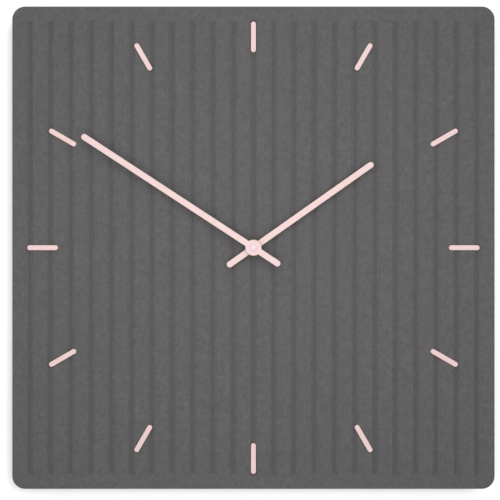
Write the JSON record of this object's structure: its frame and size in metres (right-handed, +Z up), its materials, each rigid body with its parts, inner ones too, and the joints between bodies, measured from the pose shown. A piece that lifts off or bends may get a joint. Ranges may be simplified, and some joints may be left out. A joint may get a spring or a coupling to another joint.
{
  "type": "wall clock",
  "caption": "Square wall clock with a ribbed hollow-backed case, raised bar hour markers, two bar hands and a battery quartz movement on the back.",
  "frame": {"origin": "the point of the wall plane on the hands' axis, with the clock hanging on that wall", "axes": "+Z up, +X to the right of a person who reads the dial, +Y into the wall; the dial faces -Y and every wheel turns about a line along Y"},
  "size_m": [0.3, 0.034, 0.3],
  "materials": {
    "case": "matte moulded fibre-filled composite with a fine grain",
    "marker": "satin blush paint",
    "hands": "satin blush paint on pressed aluminium",
    "cap": "glossy blush plastic",
    "brass": "turned, lightly polished",
    "steel": "zinc-plated, satin",
    "contact": "nickel-plated spring steel",
    "rubber": "matte black rubber",
    "movement_plastic": "spark-eroded black moulding",
    "grey_plastic": "plain moulded",
    "white_plastic": "natural acetal",
    "battery": "glossy plastic sleeve over a steel can",
    "circuit_board": "solder resist on glass-epoxy",
    "epoxy": "glossy potting resin",
    "copper": null,
    "magnet": "sintered magnet"
  },
  "bodies": {
    "case": {"case_shell": "case", "hanger_bracket": "steel", "gasket": "rubber", "dial_washer": "steel", "dial_nut": "brass", "pad_1": "rubber", "pad_2": "rubber", "pad_3": "rubber", "pad_4": "rubber", "marker_01": "marker", "marker_02": "marker", "marker_03": "marker", "marker_04": "marker", "marker_05": "marker", "marker_06": "marker", "marker_07": "marker", "marker_08": "marker", "marker_09": "marker", "marker_10": "marker", "marker_11": "marker", "marker_12": "marker", "movement_housing": "movement_plastic", "movement_cover": "movement_plastic", "train_plate": "grey_plastic", "battery": "battery", "contact_negative": "contact", "contact_positive": "contact", "circuit_board": "circuit_board", "chip_blob": "epoxy", "quartz_crystal": "steel", "coil_bobbin": "white_plastic", "coil_winding": "copper", "coil_core": "steel", "stator": "steel"},
    "minute": {"minute_hand": "hands", "hub_cap": "cap", "minute_arbor": "white_plastic", "clutch_washer": "steel"},
    "hour": {"hour_hand": "hands", "hour_wheel": "white_plastic"},
    "motion": {"motion_wheel": "white_plastic"},
    "setting": {"setting_knob": "white_plastic"},
    "centre": {"centre_wheel": "white_plastic"},
    "third": {"third_wheel": "white_plastic"},
    "seconds": {"seconds_wheel": "white_plastic"},
    "intermediate": {"intermediate_wheel": "white_plastic"},
    "rotor": {"rotor_pinion": "white_plastic", "rotor_magnet": "magnet"}
  },
  "joints": [
    {"name": "minute_spin", "type": "hinge", "parent": "case", "child": "minute", "pos_m": [0, 0, 0], "axis": [0, 1, 0], "continuous": true},
    {"name": "hour_spin", "type": "hinge", "parent": "case", "child": "hour", "pos_m": [0, 0, 0], "axis": [0, 1, 0], "continuous": true},
    {"name": "motion_spin", "type": "hinge", "parent": "case", "child": "motion", "pos_m": [0.00761, 0, -0.00355], "axis": [0, 1, 0], "continuous": true},
    {"name": "setting_spin", "type": "hinge", "parent": "case", "child": "setting", "pos_m": [0.01551, 0, -0.00068], "axis": [0, 1, 0], "continuous": true},
    {"name": "seconds_spin", "type": "hinge", "parent": "case", "child": "seconds", "pos_m": [0, 0, 0], "axis": [0, 1, 0], "continuous": true},
    {"name": "third_spin", "type": "hinge", "parent": "case", "child": "third", "pos_m": [0.0051, 0, 0.00883], "axis": [0, 1, 0], "continuous": true},
    {"name": "centre_spin", "type": "hinge", "parent": "case", "child": "centre", "pos_m": [0, 0, 0], "axis": [0, 1, 0], "continuous": true},
    {"name": "intermediate_spin", "type": "hinge", "parent": "case", "child": "intermediate", "pos_m": [-0.00727, 0, 0.0042], "axis": [0, 1, 0], "continuous": true},
    {"name": "rotor_spin", "type": "hinge", "parent": "case", "child": "rotor", "pos_m": [-0.00864, 0, 0.01192], "axis": [0, 1, 0], "continuous": true}
  ],
  "couplings": [
    {"joint": "hour_spin", "follows": "minute_spin", "ratio": 0.083333},
    {"joint": "motion_spin", "follows": "minute_spin", "ratio": -0.33333},
    {"joint": "setting_spin", "follows": "minute_spin", "ratio": 1},
    {"joint": "third_spin", "follows": "seconds_spin", "ratio": -0.13333},
    {"joint": "centre_spin", "follows": "seconds_spin", "ratio": 0.016667},
    {"joint": "intermediate_spin", "follows": "seconds_spin", "ratio": -5},
    {"joint": "rotor_spin", "follows": "seconds_spin", "ratio": 30}
  ]
}
